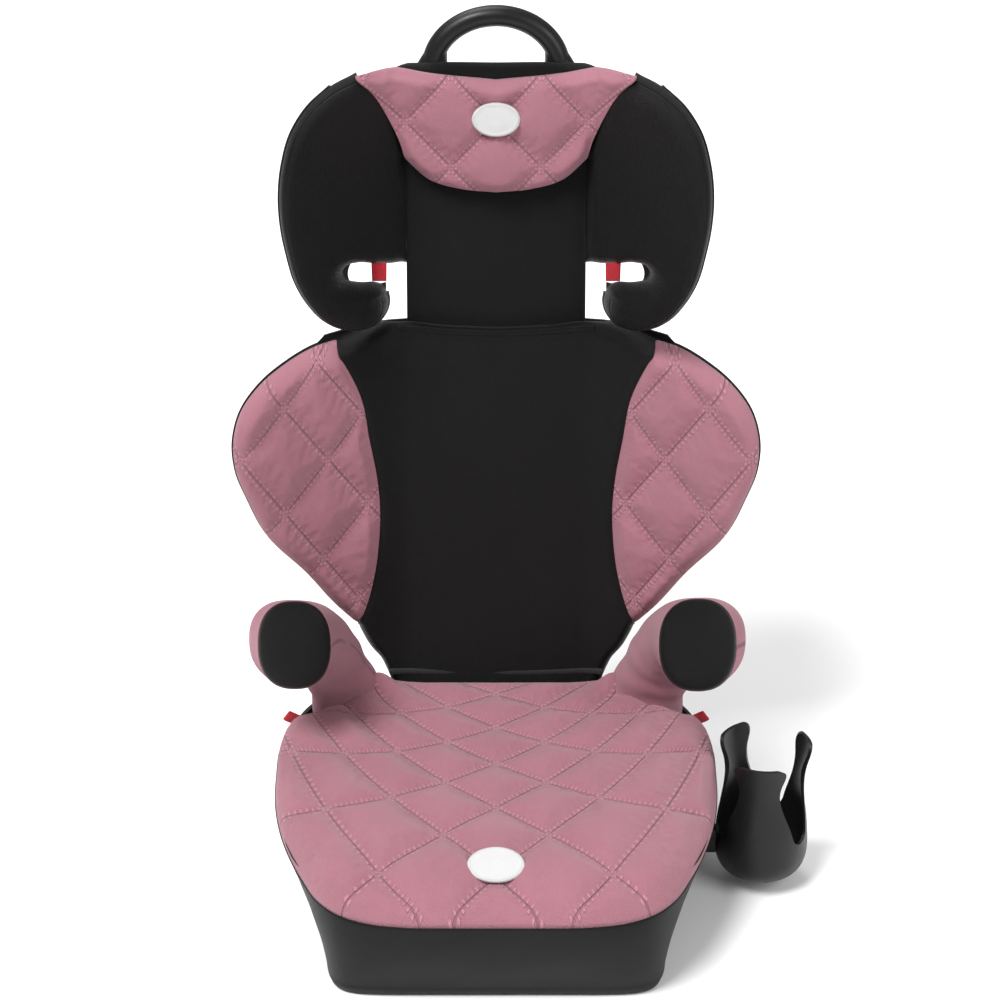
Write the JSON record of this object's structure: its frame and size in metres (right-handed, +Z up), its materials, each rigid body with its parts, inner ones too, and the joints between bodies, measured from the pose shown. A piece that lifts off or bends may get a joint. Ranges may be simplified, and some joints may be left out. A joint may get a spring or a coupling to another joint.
{
  "type": "high-back booster seat",
  "caption": "High-back child booster seat: padded base with armrests, winged backrest, sliding winged headrest with belt slots, carry handle and side cup holder.",
  "frame": {"origin": "middle of the base's flat underside, on the floor, midway between its sides", "axes": "+X to the viewer's right when the seat is seen from the front (the cup holder's side), +Y to the rear, +Z up"},
  "size_m": [0.4905, 0.4584, 0.701],
  "materials": {
    "pink_fabric": "matte knit, quilted",
    "black_fabric": "matte knit",
    "black_plastic": "fine moulded texture",
    "satin_plastic": "satin",
    "red_webbing": "woven ribbon",
    "rubber": "matte",
    "steel": "zinc plated",
    "spring_steel": "oiled"
  },
  "bodies": {
    "base": {"base_shell": "black_plastic", "seat_pan": "black_plastic", "pan_screws": "steel", "seat_cushion": "pink_fabric", "base_skirt": "black_fabric", "armrest_core_right": "black_plastic", "armrest_core_left": "black_plastic", "armrest_cover_right": "pink_fabric", "armrest_cover_left": "pink_fabric", "armrest_end_pad_right": "black_fabric", "armrest_end_pad_left": "black_fabric", "lap_belt_tab_right": "red_webbing", "lap_belt_tab_left": "red_webbing", "grip_pads": "rubber", "hinge_bracket_right": "black_plastic", "hinge_bracket_left": "black_plastic", "bracket_screws": "steel", "recline_bumpers": "rubber", "cup_rail": "black_plastic"},
    "hinge_rod": {"hinge_rod": "steel", "rod_clips": "steel"},
    "backrest": {"back_shell": "black_plastic", "back_pad": "black_fabric", "back_wing_pad_right": "pink_fabric", "back_wing_pad_left": "pink_fabric", "guide_rail_right": "black_plastic", "guide_rail_left": "black_plastic", "rail_screws": "steel", "back_hook_right": "black_plastic", "back_hook_left": "black_plastic", "hook_screws": "steel", "latch_spring": "spring_steel", "latch_screws": "steel", "lever_bracket": "black_plastic", "lever_pin": "steel", "lever_spring": "spring_steel"},
    "lever": {"release_lever": "satin_plastic"},
    "headrest": {"head_shell": "black_plastic", "head_stem": "black_plastic", "stem_rack": "black_plastic", "rack_screws": "steel", "head_pad_top": "pink_fabric", "head_pad_lower": "black_fabric", "head_wing_pad_right": "black_fabric", "head_wing_pad_left": "black_fabric", "carry_handle": "satin_plastic", "handle_screws": "steel", "shell_screws": "steel", "shoulder_belt_tab_right": "red_webbing", "shoulder_belt_tab_left": "red_webbing"},
    "cup": {"cup_holder": "satin_plastic"}
  },
  "joints": [
    {"name": "back_recline", "type": "hinge", "parent": "base", "child": "hinge_rod", "pos_m": [0, 0.165, 0.06], "axis": [1, 0, 0], "range_deg": [0, 5]},
    {"name": "back_lift", "type": "slide", "parent": "hinge_rod", "child": "backrest", "axis": [0, 0.1736, 0.9848], "range_m": [0, 0.07]},
    {"name": "headrest_height", "type": "slide", "parent": "backrest", "child": "headrest", "axis": [0, 0.1736, 0.9848], "range_m": [0, 0.09], "deforming": ["latch_spring"]},
    {"name": "height_lever", "type": "hinge", "parent": "backrest", "child": "lever", "pos_m": [0, 0.23773, 0.40886], "axis": [1, 0, 0], "range_deg": [0, 12], "stiffness_Nm_per_rad": 0.4, "springref_deg": -2.86, "deforming": ["latch_spring", "lever_spring"]},
    {"name": "cup_holder_lift", "type": "slide", "parent": "base", "child": "cup", "axis": [0.4208, 0, 0.9071], "range_m": [0, 0.04]}
  ]
}
